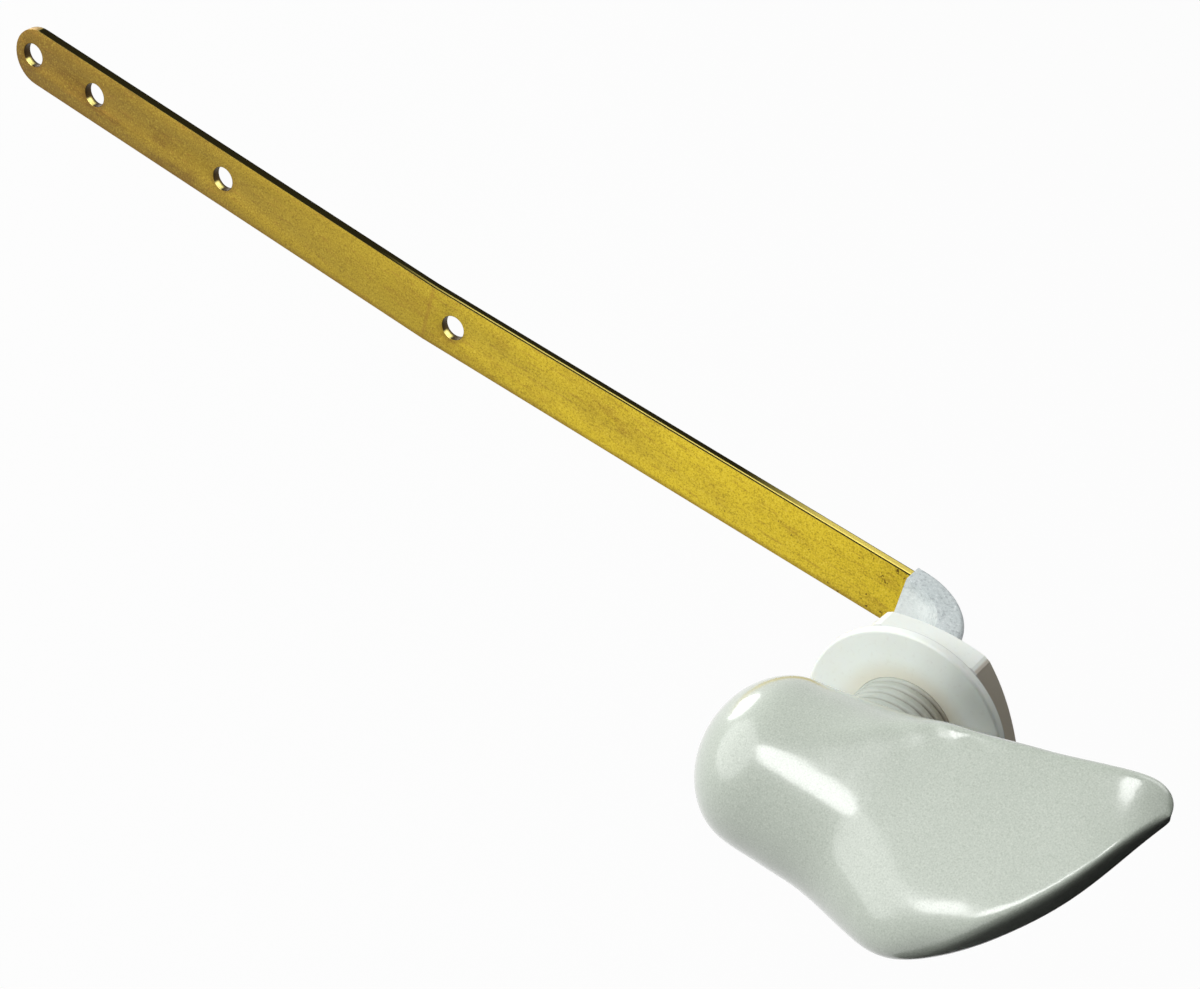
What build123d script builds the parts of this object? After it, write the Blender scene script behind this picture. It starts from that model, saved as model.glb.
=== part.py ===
"""Front-mounted cistern lever: handle, threaded bush, flanged nut, cranked spindle and brass arm.

Millimetres. The origin is the centre of the tank hole on the tank's outer face.
+Y goes into the tank along the spindle, +X towards the handle's free end, +Z up.
"""

import math
import os

from build123d import *

# Threaded bush
THREAD_R = 8.9
BUSH_FLANGE_R = 11.5
BUSH_FLANGE_T = 3.0
THREAD_LENGTH = 26.5
RUNNING_GAP = 0.05
END_GAP = 0.2

# Flanged hexagon nut
NUT_Y = 12.0
NUT_FLANGE_R = 17.0
NUT_FLANGE_T = 1.6
NUT_ACROSS_FLATS = 30.0
NUT_HEX_T = 5.7
NUT_TURN = 6.9
NUT_EDGE_R = 0.5

# Cranked spindle
SHAFT_R = 5.0
TENON_SIDE = 6.8
TENON_LENGTH = 11.5
COLLAR_R = 5.9
COLLAR_T = 3.8
CRANK_T = 4.7
CRANK_HEIGHT = 11.6
CRANK_INNER_R = 8.0
CRANK_FOOT = 2.05
CRANK_X = -14.2
CRANK_END_X = -15.4
CRANK_EDGE_R = 1.2

# Brass arm
ARM_WIDTH = 11.0
ARM_T = 1.6
ARM_Y = THREAD_LENGTH + END_GAP + CRANK_FOOT + CRANK_INNER_R + (CRANK_T - ARM_T) / 2
ARM_ROOT_X = -10.6
ARM_END_X = -208.9
ARM_CREASE_X = -111.8
ARM_BEND = 2.65
HOLE_R = 2.2
HOLES_X = (-106.4, -158.8, -189.6, -204.7)

# Handle. v runs up and back along the paddle's face, n out of it; both are counted from the spindle's axis.
HANDLE_BACK_Y = -BUSH_FLANGE_T - END_GAP
FACE_TILT = 50.0
BOSS_END_X = -20.8
BOSS_DOME_X = -9.0
BOSS_DEPTH = 26.0
BOSS_ROUND = 16.2
PADDLE_FACE = 22.0
PADDLE_LEAN = 0.19
PADDLE_LEAN_X = 8.0
PADDLE_LIP_T = 12.5
PADDLE_LIP_ROUND = 11.0
PADDLE_END_ROUND = 4.0
PADDLE_END_SQUARENESS = 1.3
PADDLE_EDGE_T = 2.6
PADDLE_EDGE_ROUND = 1.2
PADDLE_CORNER_X = 20.0
PADDLE_TIP_X = 46.0
PADDLE_TIP_V = 13.6
TIP_ROUND = 6.5
TIP_DROP = 3.4
TIP_DROP_LENGTH = 12.4
LOWER_EDGE = -21.9
LOWER_EDGE_SAG = 2.7
UPPER_EDGE = 6.0
UPPER_EDGE_DIP = 0.8
UPPER_EDGE_CROWN = 1.7
UPPER_RISE = 0.207

os.makedirs("parts", exist_ok=True)


def along_y(radius, y0, y1):
    """Round bar on the spindle's axis from y0 to y1."""
    return extrude(Plane((0, y0, 0), x_dir=(1, 0, 0), z_dir=(0, 1, 0)) * Circle(radius), y1 - y0)


# Bush: a plain tube with a round head, the thread's crests on its outside.
bush_bore = SHAFT_R + RUNNING_GAP
bush = along_y(BUSH_FLANGE_R, -BUSH_FLANGE_T, 0) + along_y(THREAD_R, 0, THREAD_LENGTH)
bush -= along_y(bush_bore, -BUSH_FLANGE_T - 1, THREAD_LENGTH + 1)
bush = chamfer(bush.edges().filter_by(GeomType.CIRCLE).group_by(Axis.Y)[-1].sort_by(SortBy.RADIUS)[-1], 0.8)
bush.label = "bush"
export_step(bush, "parts/bush.step")

# Nut: a round flange towards the tank wall, and a hexagon whose corners lie on the flange's circle.
nut_back = NUT_Y + NUT_FLANGE_T + NUT_HEX_T
nut_plane = Plane((0, NUT_Y, 0), x_dir=(1, 0, 0), z_dir=(0, 1, 0))
flange = along_y(NUT_FLANGE_R, NUT_Y, NUT_Y + NUT_FLANGE_T)
flange = fillet(flange.edges().group_by(Axis.Y)[0], NUT_EDGE_R)
hexagon = RegularPolygon(NUT_ACROSS_FLATS / 2, 6, major_radius=False)
body = extrude(nut_plane * hexagon, NUT_FLANGE_T + NUT_HEX_T).rotate(Axis.Y, -NUT_TURN)
blank = along_y(NUT_FLANGE_R, NUT_Y + NUT_FLANGE_T / 2, nut_back)
corner_drop = NUT_FLANGE_R - NUT_ACROSS_FLATS / 2
blank = chamfer(
    blank.edges().group_by(Axis.Y)[-1],
    length=corner_drop * math.tan(math.radians(30)),
    length2=corner_drop,
)
nut = flange + (body & blank)
nut -= along_y(THREAD_R + RUNNING_GAP, NUT_Y - 1, nut_back + 1)
nut.label = "nut"
export_step(nut, "parts/nut.step")

# Arm: a flat strip with a rounded end, punched with holes and kinked once away from the handle.
strip_plane = Plane((0, ARM_Y, 0), x_dir=(1, 0, 0), z_dir=(0, 1, 0))
near_length = ARM_ROOT_X - ARM_CREASE_X
near = extrude(strip_plane * Pos((ARM_ROOT_X + ARM_CREASE_X) / 2, 0) * Rectangle(near_length, ARM_WIDTH), ARM_T)
far_length = ARM_CREASE_X - ARM_END_X
far_outline = Pos(ARM_CREASE_X - (far_length - ARM_WIDTH / 2) / 2, 0) * Rectangle(far_length - ARM_WIDTH / 2, ARM_WIDTH)
far_outline += Pos(ARM_END_X + ARM_WIDTH / 2, 0) * Circle(ARM_WIDTH / 2)
far = extrude(strip_plane * far_outline, ARM_T)
for x in HOLES_X:
    punch = along_y(HOLE_R, ARM_Y - 1, ARM_Y + ARM_T + 1).translate((x, 0, 0))
    if x > ARM_CREASE_X:
        near -= punch
    else:
        far -= punch
crease_axis = Axis((ARM_CREASE_X, ARM_Y, 0), (0, 0, 1))
far = far.rotate(crease_axis, -ARM_BEND)
arm = near + far
arm.label = "arm"
export_step(arm, "parts/arm.step")

# Spindle: shaft, square tenon and collar in line, and a flat bar bent through a quarter turn to hold the arm.
collar_y = THREAD_LENGTH + END_GAP
crank_y = collar_y + CRANK_FOOT
crank_outer_r = CRANK_INNER_R + CRANK_T
tenon_y = HANDLE_BACK_Y - TENON_LENGTH
shaft = along_y(SHAFT_R, HANDLE_BACK_Y, collar_y) + along_y(COLLAR_R, collar_y, collar_y + COLLAR_T)
tenon = extrude(
    Plane((0, tenon_y, 0), x_dir=(1, 0, 0), z_dir=(0, 1, 0)) * Rectangle(TENON_SIDE, TENON_SIDE),
    TENON_LENGTH,
)
crank_plane = Plane((CRANK_X, crank_y, -CRANK_HEIGHT / 2))
ring = crank_plane * (Circle(crank_outer_r) - Circle(CRANK_INNER_R))
quarter = crank_plane * Pos(crank_outer_r / 2, crank_outer_r / 2) * Rectangle(crank_outer_r, crank_outer_r)
bar = extrude(ring & quarter, CRANK_HEIGHT)
foot_x = CRANK_X + CRANK_INNER_R + CRANK_T / 2
bar += Pos(foot_x, collar_y + CRANK_FOOT / 2, 0) * Box(CRANK_T, CRANK_FOOT, CRANK_HEIGHT)
socket_length = CRANK_X - CRANK_END_X
bar += Pos(CRANK_X - socket_length / 2, ARM_Y + ARM_T / 2, 0) * Box(socket_length, CRANK_T, CRANK_HEIGHT)
outer_edges = bar.edges().filter_by(GeomType.CIRCLE).sort_by(SortBy.RADIUS)[-2:]
bar = fillet(outer_edges, CRANK_EDGE_R)
spindle = shaft + tenon + bar
spindle -= near
spindle.label = "spindle"
export_step(spindle, "parts/spindle.step")


# Handle: sections across X. The boss is nearly round; the paddle is a slab with a thick lip and a thin top edge.
def ease(x, start, end):
    """Smooth step from 0 at start to 1 at end."""
    share = min(1.0, max(0.0, (x - start) / (end - start)))
    return share * share * (3 - 2 * share)


def soft_min(first, second):
    """The lesser of two lengths, with a smooth change from one to the other."""
    return first * second / (first**4 + second**4) ** 0.25


def handle_limits(x):
    """Lowest and highest v of the handle at x."""
    past_corner = max(0.0, (x - PADDLE_CORNER_X) / (PADDLE_TIP_X - PADDLE_CORNER_X))
    low = LOWER_EDGE - LOWER_EDGE_SAG * ease(x, 2, PADDLE_CORNER_X)
    low += (PADDLE_TIP_V - LOWER_EDGE) * past_corner**1.82
    high = UPPER_EDGE + UPPER_RISE * max(0.0, x - BOSS_DOME_X)
    high += UPPER_EDGE_CROWN * ease(x, 22, PADDLE_TIP_X) - UPPER_EDGE_DIP * ease(x, 4, 18)
    tip_start = PADDLE_TIP_X - TIP_ROUND
    if x > tip_start:
        closing = math.sqrt(1 - ((x - tip_start) / TIP_ROUND) ** 2)
        low = PADDLE_TIP_V + (low - PADDLE_TIP_V) * closing
        high = PADDLE_TIP_V + (high - PADDLE_TIP_V) * closing
    return low, high


def handle_section(x, shrink=1.0):
    """Closed outline of the handle at x, shrunk about its middle for the boss's domed end."""
    tilt = math.radians(FACE_TILT)
    low, high = handle_limits(x)
    width = high - low
    slab = ease(x, 5, 24)
    lip_t = BOSS_DEPTH + (PADDLE_LIP_T - BOSS_DEPTH) * slab
    edge_t = BOSS_DEPTH + (PADDLE_EDGE_T - BOSS_DEPTH) * slab
    lip_round = BOSS_ROUND + (PADDLE_LIP_ROUND - BOSS_ROUND) * ease(x, 6, PADDLE_CORNER_X)
    end = ease(x, PADDLE_CORNER_X + 5, PADDLE_CORNER_X + 16)
    lip_round += (PADDLE_END_ROUND - PADDLE_LIP_ROUND) * end
    lip_round = soft_min(lip_round, 0.75 * width)
    edge_round = BOSS_ROUND + (PADDLE_EDGE_ROUND - BOSS_ROUND) * ease(x, -10, 14)
    edge_round = soft_min(edge_round, 0.65 * width)
    lip_power = 2 + PADDLE_END_SQUARENESS * end
    thin = 1 - 0.75 * max(0.0, 1 - width / 22) ** 2
    past_bend = max(0.0, x - PADDLE_TIP_X + TIP_DROP_LENGTH) / TIP_DROP_LENGTH
    past_boss = x - PADDLE_LEAN_X
    face = PADDLE_FACE + PADDLE_LEAN * (past_boss + math.hypot(past_boss, 4)) / 2 - 1 + thin
    upper = []
    lower = []
    steps = 20
    spacing = [i / steps for i in range(steps + 1)]
    for i in range(steps + 1):
        share = (1 - math.cos(math.pi * i / steps)) / 2
        v = low + width * share
        half = thin * (lip_t + (edge_t - lip_t) * share) / 2
        from_lip = min(1.0, width * share / lip_round)
        from_edge = min(1.0, width * (1 - share) / edge_round)
        fullness = (1 - (1 - from_lip) ** lip_power) ** (1 / lip_power) * math.sqrt(1 - (1 - from_edge) ** 2)
        middle = face - half - TIP_DROP * past_bend**2 * ease(v, PADDLE_TIP_V - 11.6, PADDLE_TIP_V + 2.4)
        upper.append((v, middle + half * fullness))
        lower.append((v, middle - half * fullness))
    v0 = (low + high) / 2
    n0 = face - thin * lip_t / 2
    edges = []
    for side in (upper, lower[::-1]):
        points = []
        for v, n in side:
            v = v0 + (v - v0) * shrink
            n = n0 + (n - n0) * shrink
            points.append((x, v * math.sin(tilt) - n * math.cos(tilt), v * math.cos(tilt) + n * math.sin(tilt)))
        edges.append(Edge.make_spline(points, parameters=spacing))
    return Wire(edges)


sections = []
for degrees in (82, 68, 52, 35, 17):
    turn = math.radians(degrees)
    dome_x = BOSS_DOME_X + (BOSS_END_X - BOSS_DOME_X) * math.sin(turn)
    sections.append(handle_section(dome_x, shrink=math.cos(turn)))
body_end_x = PADDLE_TIP_X - TIP_ROUND
for i in range(13):
    sections.append(handle_section(BOSS_DOME_X + (body_end_x - BOSS_DOME_X) * i / 12))
for degrees in (22, 42, 60, 73, 81, 86):
    sections.append(handle_section(body_end_x + (PADDLE_TIP_X - body_end_x) * math.sin(math.radians(degrees))))
handle = Solid.make_loft(sections)
behind = Box(120, 40, 120).translate((0, HANDLE_BACK_Y + 20, 0))
handle = handle - behind
handle -= tenon
handle.label = "handle"
export_step(handle, "parts/handle.step")
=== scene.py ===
"""Looks of a front-mounted cistern lever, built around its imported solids. Metres, in the part's own frame."""

import math

import bmesh
import bpy
from mathutils import Matrix, Vector


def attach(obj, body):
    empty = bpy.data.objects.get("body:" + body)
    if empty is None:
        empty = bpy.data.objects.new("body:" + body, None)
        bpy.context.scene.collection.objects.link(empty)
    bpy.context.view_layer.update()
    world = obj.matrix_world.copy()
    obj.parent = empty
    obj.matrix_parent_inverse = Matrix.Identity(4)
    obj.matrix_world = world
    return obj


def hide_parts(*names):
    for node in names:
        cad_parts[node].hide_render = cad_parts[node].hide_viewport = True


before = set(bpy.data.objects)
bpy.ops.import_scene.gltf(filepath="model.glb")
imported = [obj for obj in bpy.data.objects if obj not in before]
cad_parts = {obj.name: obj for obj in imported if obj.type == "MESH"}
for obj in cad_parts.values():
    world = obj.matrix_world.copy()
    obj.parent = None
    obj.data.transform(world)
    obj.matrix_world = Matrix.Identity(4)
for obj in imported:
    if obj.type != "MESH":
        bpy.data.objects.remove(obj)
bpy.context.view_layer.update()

# Bush: a tube with a round head, moulded in white plastic but coloured a mid grey as painted shade; the head bears on
# the tank's outer face.
# Its coarse thread is cut as one real helix, its roots are darkened as painted shade, and the side towards the handle's
# tip is painted warm brown near the nut as painted shade.
THREAD_CREST = 0.0089
THREAD_DEPTH = 0.0006
THREAD_PITCH = 0.0018
THREAD_END = 0.0265
ROOT_HALF = 0.04  # half the root's flat, and a flank, as shares of the pitch
FLANK = 0.2
RUN_IN = 0.002  # the thread deepens over this length from the head on
END_CHAMFER = 0.0008
HEAD_R = 0.0115
HEAD_T = 0.003
HEAD_ROUND = 0.0006
HEAD_BACK_EDGE = 0.0004
BORE_R = 0.00505
SMALL_EDGE = 0.0003
AROUND = 96
THREAD_RINGS = 190
# Both tones are white plastic darkened to a mid grey: painted shade.
BUSH_SHADED_DARK = (0.42, 0.46, 0.41)
BUSH_SHADED_PALE = (0.51, 0.545, 0.495)
# Warm brown near the nut on the side towards the handle's tip: painted shade.
BUSH_PAINTED_SHADE = (0.40, 0.33, 0.24)
# Darkening in the thread's roots: painted shade.
ROOT_PAINTED_SHADE = (0.24, 0.22, 0.18)


class Wire:
    """An output of a material's nodes. Sums and products of wires add Math nodes, and node() adds any other node."""

    def __init__(self, tree, socket=None):
        self.tree = tree
        self.socket = socket

    def node(self, kind, settings=None, sockets=None, output=0):
        made = self.tree.nodes.new(kind)
        for name, value in (settings or {}).items():
            if name == "stops":
                ends = zip(made.color_ramp.elements, value[:1] + value[-1:])
                for element, (place, colour) in ends:
                    element.position = place
                    element.color = (*colour, 1)
                for place, colour in value[1:-1]:
                    made.color_ramp.elements.new(place).color = (*colour, 1)
            else:
                setattr(made, name, value)
        for name, value in (sockets or {}).items():
            if isinstance(value, Wire):
                self.tree.links.new(value.socket, made.inputs[name])
            else:
                made.inputs[name].default_value = value
        return Wire(self.tree, made.outputs[output])

    def maths(self, operation, first, second=0.0):
        return self.node("ShaderNodeMath", {"operation": operation}, {0: first, 1: second})

    def __add__(self, other):
        return self.maths("ADD", self, other)

    def __radd__(self, other):
        return self.maths("ADD", other, self)

    def __sub__(self, other):
        return self.maths("SUBTRACT", self, other)

    def __rsub__(self, other):
        return self.maths("SUBTRACT", other, self)

    def __mul__(self, other):
        return self.maths("MULTIPLY", self, other)

    def __rmul__(self, other):
        return self.maths("MULTIPLY", other, self)

    def __pow__(self, other):
        return self.maths("POWER", self, other)

    def __abs__(self):
        return self.maths("ABSOLUTE", self)

    def or_more(self, other):
        """The larger of the two."""
        return self.maths("MAXIMUM", self, other)

    def between(self, low, high):
        """A smooth step from 0 at low to 1 at high, which may also lie below low."""
        return self.node(
            "ShaderNodeMapRange",
            {"interpolation_type": "SMOOTHSTEP"},
            {"Value": self, "From Min": low, "From Max": high},
        )

    def ramp(self, *stops):
        """Colours by this value, each stop a place from 0 to 1 and a colour."""
        return self.node("ShaderNodeValToRGB", {"stops": list(stops)}, {0: self})

    def tint(self, colour, share):
        """This colour, mixed towards another one by share."""
        return self.node(
            "ShaderNodeMix",
            {"data_type": "RGBA", "blend_type": "MIX"},
            {0: share, 6: self, 7: (*colour, 1)},
            output=2,
        )


def finish_of(name):
    """A new material, the place on the part that its nodes start from, and its main shader."""
    material = bpy.data.materials.new(name)
    material.use_nodes = True
    place = Wire(material.node_tree).node("ShaderNodeTexCoord", output=3)
    return material, place, material.node_tree.nodes["Principled BSDF"]


def axes_of(place):
    """The place's x, y and z."""
    outputs = place.node("ShaderNodeSeparateXYZ", {}, {0: place}).socket.node.outputs
    return [Wire(place.tree, output) for output in outputs]


def reach_of(first, second):
    """The length of a flat vector."""
    return (first * first + second * second) ** 0.5


def noise(place, size, detail=3.0, rough=0.5, stretch=(1, 1, 1)):
    """Cloudy values about 0.5, with features of about that many metres."""
    spread = place.node("ShaderNodeMapping", {}, {"Vector": place, "Scale": stretch})
    look = {"Vector": spread, "Scale": 1 / size, "Detail": detail, "Roughness": rough}
    return spread.node("ShaderNodeTexNoise", {}, look)


def feed(shader, name, wire):
    wire.tree.links.new(wire.socket, shader.inputs[name])


def bump(shader, height, strength, distance=0.0001):
    look = {"Strength": strength, "Distance": distance, "Height": height}
    feed(shader, "Normal", height.node("ShaderNodeBump", {}, look))


def piece(name, mesh, material, body, node):
    """An object of that mesh which stands for a solid of the frame."""
    made = bpy.data.objects.new(name, mesh)
    bpy.context.collection.objects.link(made)
    mesh.materials.clear()
    mesh.materials.append(material)
    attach(made, body)
    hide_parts(node)


def thread_radius(y, turn_share):
    """The thread's radius at a place along the bush and a share of a turn about it."""
    phase = (y / THREAD_PITCH + turn_share) % 1.0
    flank = min(1.0, max(0.0, (abs(phase - 0.5) - ROOT_HALF) / FLANK))
    depth = THREAD_DEPTH * min(1.0, y / RUN_IN)
    off_end = min(1.0, (THREAD_END - y) / END_CHAMFER)
    return THREAD_CREST - depth * (1 - flank) - END_CHAMFER * (1 - off_end)


def threaded_tube():
    """The bush as rings of points about Y: through the bore, round the head and along the thread to the far end."""
    bm = bmesh.new()
    rings = []

    def add_ring(y, radius_at):
        ring = []
        for i in range(AROUND):
            turn = 2 * math.pi * i / AROUND
            radius = radius_at(i / AROUND)
            ring.append(bm.verts.new((radius * math.cos(turn), y, radius * math.sin(turn))))
        rings.append(ring)

    plain_rings = (
        (BORE_R, THREAD_END),
        (BORE_R, THREAD_END - SMALL_EDGE),
        (BORE_R, 0.0),
        (BORE_R, -HEAD_T + SMALL_EDGE),
        (BORE_R + SMALL_EDGE, -HEAD_T),
        (HEAD_R - HEAD_ROUND, -HEAD_T),
        (HEAD_R - HEAD_ROUND / 3, -HEAD_T + HEAD_ROUND / 3),
        (HEAD_R, -HEAD_T + HEAD_ROUND),
        (HEAD_R, -HEAD_BACK_EDGE),
        (HEAD_R - SMALL_EDGE, 0.0),
        (THREAD_CREST, 0.0),
    )
    for radius, y in plain_rings:
        add_ring(y, lambda turn_share: radius)
    for step in range(1, THREAD_RINGS + 1):
        y = THREAD_END * step / THREAD_RINGS
        add_ring(y, lambda turn_share: thread_radius(y, turn_share))
    for first, second in zip(rings, rings[1:] + rings[:1]):
        for i in range(AROUND):
            k = (i + 1) % AROUND
            bm.faces.new((first[i], first[k], second[k], second[i]))
    bmesh.ops.recalc_face_normals(bm, faces=bm.faces)
    mesh = bpy.data.meshes.new("threaded_bush")
    bm.to_mesh(mesh)
    bm.free()
    mesh.shade_smooth()
    mesh.set_sharp_from_angle(angle=math.radians(50))
    return mesh


bush_finish, place, shader = finish_of("white moulded bush")
across, deep, above = axes_of(place)
crest_side = THREAD_CREST - 0.2 * THREAD_DEPTH
# The roots of the thread are darkened: painted shade.
root = 1 - reach_of(across, above).between(THREAD_CREST - THREAD_DEPTH, crest_side)
cloud = noise(place, 0.006)
# Warm brown near the nut, on the side towards the handle's tip: painted shade.
painted_shade_side = deep.between(0.004, 0.0118) * across.between(-0.004, 0.008)
# The grey tones stand for white plastic in shade: painted shade.
colour = cloud.ramp((0.3, BUSH_SHADED_DARK), (0.7, BUSH_SHADED_PALE)).tint(BUSH_PAINTED_SHADE, painted_shade_side * 0.7)
feed(shader, "Base Color", colour.tint(ROOT_PAINTED_SHADE, root * 0.75))
feed(shader, "Roughness", 0.38 + cloud * 0.2)
bump(shader, noise(place, 0.0006), 0.08)
shader.inputs["Subsurface Weight"].default_value = 0.1
shader.inputs["Subsurface Radius"].default_value = (0.002, 0.0014, 0.0008)
piece("threaded_bush", threaded_tube(), bush_finish, "bush", "bush")

# Nut: a hexagon nut with a round flange, moulded in one piece from milky nylon, that clamps the tank wall.
# Its corners are crisp and only the flange's front edge is rounded. A grey line between flange and hexagon is painted
# shadow.
# Around the thread it is darkened warm as painted shade, and the flat towards the handle's tip is painted brown as
# painted shade.
NUT_BORE_R = 0.0088
NUT_STAIN_R = 0.0128
NUT_JOIN_Y = 0.0137
NUT_HALF = 0.015  # half across flats
TIP_FLAT_FACES = (0.8, 0.6)  # where the flat towards the handle's tip faces, in x and z
NUT_SHADE = (0.85, 0.89, 0.83)
NUT_LIGHT = (0.885, 0.935, 0.885)
NUT_SPECK = (0.66, 0.65, 0.58)
# Warm ring about the thread: painted shade.
NUT_RING_PAINTED_SHADE = (0.66, 0.58, 0.42)
# Brown on the flat towards the handle's tip: painted shade.
NUT_FLAT_PAINTED_SHADE = (0.46, 0.40, 0.31)
# Grey line between flange and hexagon: painted shadow.
NUT_JOIN_PAINTED_SHADOW = (0.40, 0.41, 0.40)


def softened(name, node, edge, angle=35):
    """A copy of a solid's mesh whose sharp edges are worn round by that much, or crisp at 0."""
    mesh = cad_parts[node].data.copy()
    mesh.name = name
    bm = bmesh.new()
    bm.from_mesh(mesh)
    bmesh.ops.remove_doubles(bm, verts=bm.verts, dist=2e-6)
    least = math.radians(angle)
    if edge:
        bmesh.ops.dissolve_limit(bm, angle_limit=math.radians(0.5), verts=bm.verts, edges=bm.edges)
        sharp = [e for e in bm.edges if len(e.link_faces) == 2 and e.calc_face_angle() > least]
        bmesh.ops.bevel(bm, geom=sharp, offset=edge, segments=3, profile=0.5, affect="EDGES", clamp_overlap=True)
    bm.to_mesh(mesh)
    bm.free()
    if "custom_normal" in mesh.attributes:
        mesh.attributes.remove(mesh.attributes["custom_normal"])
    mesh.shade_smooth()
    mesh.set_sharp_from_angle(angle=least)
    return mesh


nut_finish, place, shader = finish_of("milky nylon nut")
across, deep, above = axes_of(place)
cloud = noise(place, 0.009, detail=4)
fine = noise(place, 0.0007)
# A warm darker ring about the thread: painted shade.
ring = 1 - reach_of(across, above).between(NUT_BORE_R, NUT_STAIN_R)
outwards = across * TIP_FLAT_FACES[0] + above * TIP_FLAT_FACES[1]
# The flat towards the handle's tip is painted brown: painted shade.
tip_flat = deep.between(0.0134, 0.0142) * outwards.between(NUT_HALF - 0.0004, NUT_HALF - 0.00015)
# A grey line where flange meets hexagon: painted shadow.
painted_join_shadow = 1 - abs(deep - NUT_JOIN_Y).between(0.0001, 0.0003)
colour = cloud.ramp((0.3, NUT_SHADE), (0.7, NUT_LIGHT))
colour = colour.tint(NUT_SPECK, fine.between(0.55, 0.8) * 0.25)
colour = colour.tint(NUT_RING_PAINTED_SHADE, ring * (0.28 + cloud * 0.36))
colour = colour.tint(NUT_FLAT_PAINTED_SHADE, tip_flat * 0.85)
feed(shader, "Base Color", colour.tint(NUT_JOIN_PAINTED_SHADOW, painted_join_shadow * 0.6))
feed(shader, "Roughness", 0.30 + fine * 0.25)
bump(shader, fine, 0.06)
shader.inputs["Subsurface Weight"].default_value = 0.3
shader.inputs["Subsurface Radius"].default_value = (0.0015, 0.0013, 0.001)
piece("flanged_nut", softened("flanged_nut", "nut", 0.0, angle=25), nut_finish, "nut", "nut")

# Spindle: a pale cast bar, round where it runs in the bush and bent flat behind it to grip the arm.
# The casting's skin is rough and speckled. Over the top and outer side of the bend its colour is darker grey, with more
# dark specks.
SPINDLE_EDGE = 0.0004
CAST_SHADE = (0.68, 0.74, 0.73)
CAST_LIGHT = (0.80, 0.85, 0.84)
CAST_BEND_GREY = (0.50, 0.56, 0.57)
CAST_DARK_GRAIN = (0.34, 0.38, 0.39)
CAST_LIGHT_GRAIN = (0.92, 0.95, 0.95)

spindle_finish, place, shader = finish_of("pale rough casting")
across, deep, above = axes_of(place)
grain = noise(place, 0.0006, detail=4, rough=0.7)
cloud = noise(place, 0.005)
bend = above.between(0.003, 0.0052).or_more(across.between(-0.0105, -0.007))
colour = cloud.ramp((0.35, CAST_SHADE), (0.65, CAST_LIGHT))
colour = colour.tint(CAST_BEND_GREY, bend * 0.6)
colour = colour.tint(CAST_DARK_GRAIN, grain.between(0.50, 0.68) * (0.25 + bend * 0.5))
colour = colour.tint(CAST_LIGHT_GRAIN, (1 - grain.between(0.32, 0.45)) * 0.5)
feed(shader, "Base Color", colour)
feed(shader, "Roughness", 0.42 + grain * 0.25)
bump(shader, grain, 0.6, distance=0.0003)
cast_mesh = softened("cranked_spindle", "spindle", SPINDLE_EDGE)
piece("cranked_spindle", cast_mesh, spindle_finish, "lever", "spindle")

# Arm: a long brass strip sheared and punched from sheet, kinked once, and pressed into the spindle's end.
# It is satin and dull with age: a fine gold grain, brown smears and specks by the spindle. Its punched holes have walls
# painted dark as painted shade and a painted highlight on the lower lip, and its sheared upper edge is tarnished black
# towards the far end, painted bright as a sheen by the spindle, and painted dark as a dark reflection along its corners
# and, away from the spindle, on its back half.
ARM_EDGE = 0.00018
ARM_HALF = 0.0055
ARM_T = 0.0016
ARM_Y = 0.0391
ARM_TIP_X = -0.209
ARM_RUN = 0.198
CREASE_X = -0.1118
CREASE_TURN = 0.0463
HOLES_X = (-0.1064, -0.1587, -0.1895, -0.2046)
HOLE_R = 0.0022
HALO_R = 0.0035
TIP_GOLD = (0.24, 0.145, 0.028)
FAR_GOLD = (0.36, 0.245, 0.033)
MIDDLE_GOLD = (0.47, 0.34, 0.034)
BRIGHT_GOLD = (0.70, 0.53, 0.038)
SPINDLE_GOLD = (0.70, 0.525, 0.037)
CLOUD_BROWN = (0.24, 0.145, 0.033)
SMEAR_RED_BROWN = (0.32, 0.15, 0.030)
SMEAR_DARK = (0.13, 0.065, 0.020)
SCRATCH_BROWN = (0.34, 0.18, 0.034)
GRAIN_DARK = (0.12, 0.065, 0.015)
GRAIN_GOLD = (0.86, 0.70, 0.12)
SPECK_BLACK = (0.06, 0.03, 0.012)
CREASE_BROWN = (0.30, 0.15, 0.03)
RIM_BROWN = (0.20, 0.11, 0.025)
HALO_BROWN = (0.16, 0.085, 0.022)
# Dark hole walls: painted shade.
HOLE_WALL_PAINTED_SHADE = (0.035, 0.022, 0.010)
# Bright spot on a hole's lower lip: painted highlight.
LIP_PAINTED_HIGHLIGHT = (1.0, 0.88, 0.30)
# Bright gold on the upper edge: painted sheen.
EDGE_PAINTED_SHEEN = (0.85, 0.72, 0.20)
# Black on the upper edge: tarnish towards the far end, painted dark reflection along the corners and back half.
EDGE_TARNISH_AND_DARK_REFLECTION = (0.006, 0.005, 0.003)

arm_finish, place, shader = finish_of("tarnished brass strip")
along, deep, above = axes_of(place)
cloud = noise(place, 0.022, detail=5, rough=0.6, stretch=(0.7, 1, 1))
smear = noise(place, 0.006, detail=5, rough=0.65, stretch=(0.45, 1, 1.4))
scratch = noise(place, 0.0008, detail=3, rough=0.6, stretch=(0.14, 1, 1))
grain = noise(place, 0.0003, detail=2, rough=0.6)
fine = noise(place, 0.0009, detail=3, rough=0.7)
near = along.between(-0.13, -0.04)
tip_end = 1 - along.between(-0.175, -0.14)
gold = ((0.0, TIP_GOLD), (0.25, FAR_GOLD), (0.5, MIDDLE_GOLD), (0.7, BRIGHT_GOLD), (1.0, SPINDLE_GOLD))
colour = ((along - ARM_TIP_X) * (1 / ARM_RUN)).ramp(*gold)
colour = colour.tint(CLOUD_BROWN, cloud.between(0.50, 0.75) * 0.3)
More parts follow.
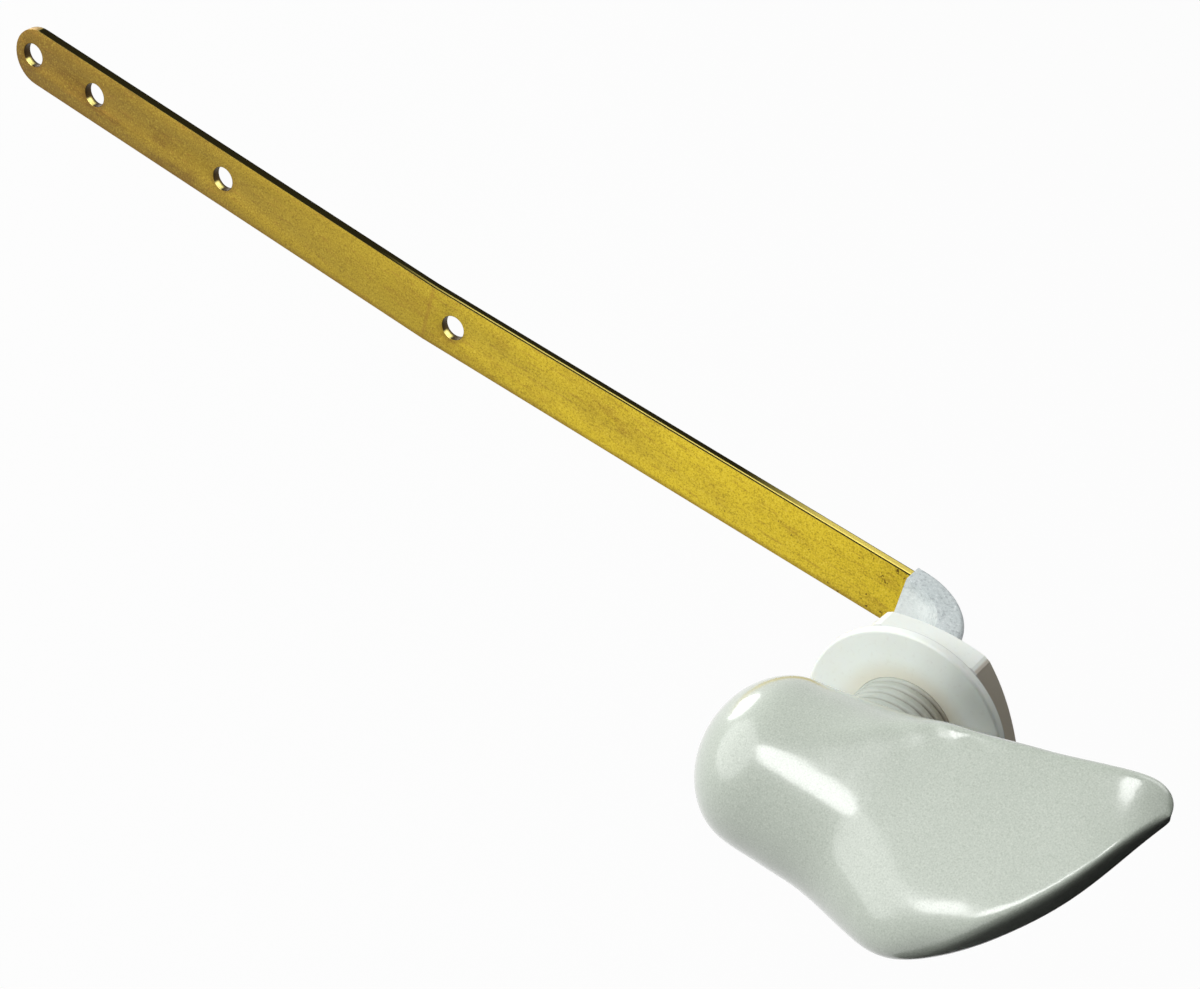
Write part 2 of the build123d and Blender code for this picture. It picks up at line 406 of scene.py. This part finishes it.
colour = colour.tint(SMEAR_RED_BROWN, smear.between(0.54, 0.72) * 0.28)
colour = colour.tint(SMEAR_DARK, smear.between(0.48, 0.66) * (0.08 + tip_end * 0.36))
colour = colour.tint(SCRATCH_BROWN, scratch.between(0.54, 0.72) * 0.4)
colour = colour.tint(GRAIN_DARK, grain.between(0.48, 0.70) * 0.42)
colour = colour.tint(GRAIN_GOLD, (1 - grain.between(0.28, 0.46)) * (0.20 + near * 0.20))
speck = fine.between(0.61, 0.66) * smear.between(0.52, 0.60) * along.between(-0.085, -0.02)
colour = colour.tint(SPECK_BLACK, speck * 0.85)
past_crease = CREASE_X - along
middle = deep - ARM_Y - past_crease.or_more(0.0) * CREASE_TURN  # 0 half way through the strip
crease = 1 - abs(past_crease).between(0.0001, 0.0006)
colour = colour.tint(CREASE_BROWN, crease * 0.35)
lower_rim = 1 - above.between(-ARM_HALF + 0.0002, -ARM_HALF + 0.0012)
colour = colour.tint(RIM_BROWN, lower_rim * 0.5)
for hole_x in HOLES_X:
    aside = along - hole_x
    reach = reach_of(aside, above)
    halo = (1 - reach.between(HOLE_R + 0.0001, HALO_R)) * above.between(0.0012, -0.0012)
    colour = colour.tint(HALO_BROWN, halo * (0.15 + smear * 0.6))
    # The hole's wall is darkened: painted shade.
    wall = 1 - reach.between(HOLE_R + 0.00002, HOLE_R + 0.00012)
    colour = colour.tint(HOLE_WALL_PAINTED_SHADE, wall * 0.9)
    # A bright spot on the front half of the lower lip: painted highlight.
    lower_left = above.between(-0.00145, -0.00185) * aside.between(0.0002, -0.0003)
    painted_lip_highlight = wall * lower_left * middle.between(0.0005, -0.0002)
    colour = colour.tint(LIP_PAINTED_HIGHLIGHT, painted_lip_highlight * 0.9)
# Black on the upper edge: tarnish towards the far end; along its corners and, away from the spindle, its back half, a
# painted dark reflection.
far = 1 - along.between(-0.125, -0.100)
top_face = above.between(ARM_HALF - 0.0002, ARM_HALF - 0.00005)
dark_reflection_corners = abs(middle).between(ARM_T / 2 - 0.00032, ARM_T / 2 - 0.00012)
behind = middle.between(-0.0005, -0.0002) * (1 - along.between(-0.050, -0.030) * 0.7)
black = top_face * far.or_more(behind.or_more(dark_reflection_corners))
# The upper edge is lightened: painted sheen.
colour = colour.tint(EDGE_PAINTED_SHEEN, top_face * 0.7)
feed(shader, "Base Color", colour.tint(EDGE_TARNISH_AND_DARK_REFLECTION, black * 0.98))
feed(shader, "Roughness", 0.36 + cloud * 0.14 + fine * 0.10 + black * 0.4)
feed(shader, "Metallic", 1 - black)
shader.inputs["Specular IOR Level"].default_value = 0.0
bump(shader, scratch + grain * 0.6, 0.12)
piece("brass_arm", softened("brass_arm", "arm", ARM_EDGE), arm_finish, "lever", "arm")

# Handle: one gloss moulding, a domed boss that runs into a slanted fan-shaped paddle, pressed on the spindle's tenon.
# The plastic is a cool off-white with a fine even grain under its gloss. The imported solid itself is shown.
PLASTIC_SHADE = (0.45, 0.50, 0.43)
PLASTIC_LIGHT = (0.48, 0.53, 0.46)
PLASTIC_PALE_GRAIN = (0.62, 0.67, 0.59)
PLASTIC_DARK_GRAIN = (0.30, 0.34, 0.28)

handle_finish, place, shader = finish_of("gloss off-white plastic")
grain = noise(place, 0.00025, detail=1)
cloud = noise(place, 0.02, detail=3)
colour = cloud.ramp((0.3, PLASTIC_SHADE), (0.7, PLASTIC_LIGHT))
colour = colour.tint(PLASTIC_PALE_GRAIN, (1 - grain.between(0.25, 0.5)) * 0.45)
feed(shader, "Base Color", colour.tint(PLASTIC_DARK_GRAIN, grain.between(0.5, 0.75) * 0.45))
feed(shader, "Roughness", 0.28 + cloud * 0.06)
bump(shader, grain, 0.02)
shader.inputs["Coat Weight"].default_value = 1.0
shader.inputs["Coat Roughness"].default_value = 0.135
handle_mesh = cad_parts["handle"].data
handle_mesh.materials.clear()
handle_mesh.materials.append(handle_finish)

# Studio: a pale floor well below the part, and soft lamps in front, to the left, above and behind.
# Two dark cards stand beside the part: one is only mirrored, in the handle's end face at the right, and one only
# shades the nut's right half. Lamps and cards are out of the camera's sight.
FLOOR_Z = -0.16
FLOOR_HALF = 4
FLOOR_WHITE = 0.96  # the floor's own share of white as the camera sees it; the rest takes light and shadow
WORLD_LIGHT = 0.15

floor_corners = [(x * FLOOR_HALF, y * FLOOR_HALF, FLOOR_Z) for x, y in ((-1, -1), (1, -1), (1, 1), (-1, 1))]
floor_mesh = bpy.data.meshes.new("floor")
floor_mesh.from_pydata(floor_corners, [], [(0, 1, 2, 3)])
floor = bpy.data.objects.new("floor", floor_mesh)
bpy.context.collection.objects.link(floor)


def background_rays(wire):
    """1 for what the camera sees, also in a mirror or through glass, and 0 for what only lights the part."""
    rays = wire.node("ShaderNodeLightPath").socket.node.outputs
    names = ("Is Camera Ray", "Is Glossy Ray", "Is Transmission Ray")
    camera_ray, glossy_ray, through_ray = (Wire(wire.tree, rays[name]) for name in names)
    return camera_ray + glossy_ray + through_ray


floor_finish, place, shader = finish_of("pale floor")
shader.inputs["Base Color"].default_value = (0.5, 0.5, 0.5, 1)
shader.inputs["Roughness"].default_value = 0.9
white = place.node("ShaderNodeEmission", {}, {"Color": (1, 1, 1, 1), "Strength": 1.0})
share = background_rays(place) * FLOOR_WHITE
mixed = place.node("ShaderNodeMixShader", {}, {0: share, 1: Wire(place.tree, shader.outputs[0]), 2: white})
feed(place.tree.nodes["Material Output"], "Surface", mixed)
floor_mesh.materials.append(floor_finish)

world = bpy.data.worlds.new("studio")
bpy.context.scene.world = world
world.use_nodes = True
background = world.node_tree.nodes["Background"]
background.inputs["Color"].default_value = (1, 1, 1, 1)
feed(background, "Strength", WORLD_LIGHT + background_rays(Wire(world.node_tree)) * (1 - WORLD_LIGHT))


def lamp(name, towards, distance, size, power):
    """A round softbox in that direction from the spindle, facing it."""
    data = bpy.data.lights.new(name, "AREA")
    data.shape = "DISK"
    data.size = size
    data.energy = power
    made = bpy.data.objects.new(name, data)
    bpy.context.collection.objects.link(made)
    away = Vector(towards).normalized()
    made.location = away * distance
    made.rotation_mode = "QUATERNION"
    made.rotation_quaternion = away.to_track_quat("Z", "Y")
    made.visible_camera = False


lamp("key softbox", (-0.25, -0.72, 0.65), 0.7, 0.265, 1.45)
lamp("left softbox", (-0.82, -0.50, 0.27), 0.6, 0.72, 2.4)
lamp("back left softbox", (-0.92, 0.36, 0.12), 0.8, 0.35, 2.0)
lamp("top softbox", (0.03, -0.48, 0.88), 0.7, 0.2, 0.95)
lamp("back softbox", (0.22, 0.56, 0.80), 0.8, 0.7, 2.2)

card_finish, place, shader = finish_of("dark card")
shader.inputs["Base Color"].default_value = (0.01, 0.01, 0.01, 1)
shader.inputs["Roughness"].default_value = 1.0
shader.inputs["Specular IOR Level"].default_value = 0.0


def card(name, corners, shades):
    """A dark four-cornered card: it either only shades the part from the lamps, or is only mirrored in the part."""
    mesh = bpy.data.meshes.new(name)
    mesh.from_pydata(corners, [], [(0, 1, 2, 3)])
    mesh.materials.append(card_finish)
    made = bpy.data.objects.new(name, mesh)
    bpy.context.collection.objects.link(made)
    made.visible_camera = False
    made.visible_shadow = shades
    made.visible_diffuse = not shades
    made.visible_glossy = not shades


leaning = [(0.039, -0.08, -0.155), (0.0765, -0.08, 0.06), (0.0765, 0.16, 0.06), (0.039, 0.16, -0.155)]
upright = [(0.001, 0.0, 0.019), (0.026, 0.0, 0.019), (0.026, 0.0, 0.05), (0.001, 0.0, 0.05)]
card("right_card", leaning, shades=False)
card("nut_flag", upright, shades=True)

camera_data = bpy.data.cameras.new("camera")
camera_data.lens = 101.34
camera_data.sensor_width = 36.0
camera_data.clip_start = 0.01
camera = bpy.data.objects.new("camera", camera_data)
bpy.context.collection.objects.link(camera)
camera_place = (0.10997, -0.37256, 0.33683)
right = Vector((0.80668, 0.54717, 0.22332))
up = Vector((-0.49794, 0.42575, 0.75551))
back = Vector((0.31831, -0.72065, 0.61590))
camera_turn = Matrix((right, up, back)).transposed().to_4x4()
camera.matrix_world = Matrix.Translation(camera_place) @ camera_turn
bpy.context.scene.camera = camera
bpy.context.scene.view_settings.view_transform = "Standard"
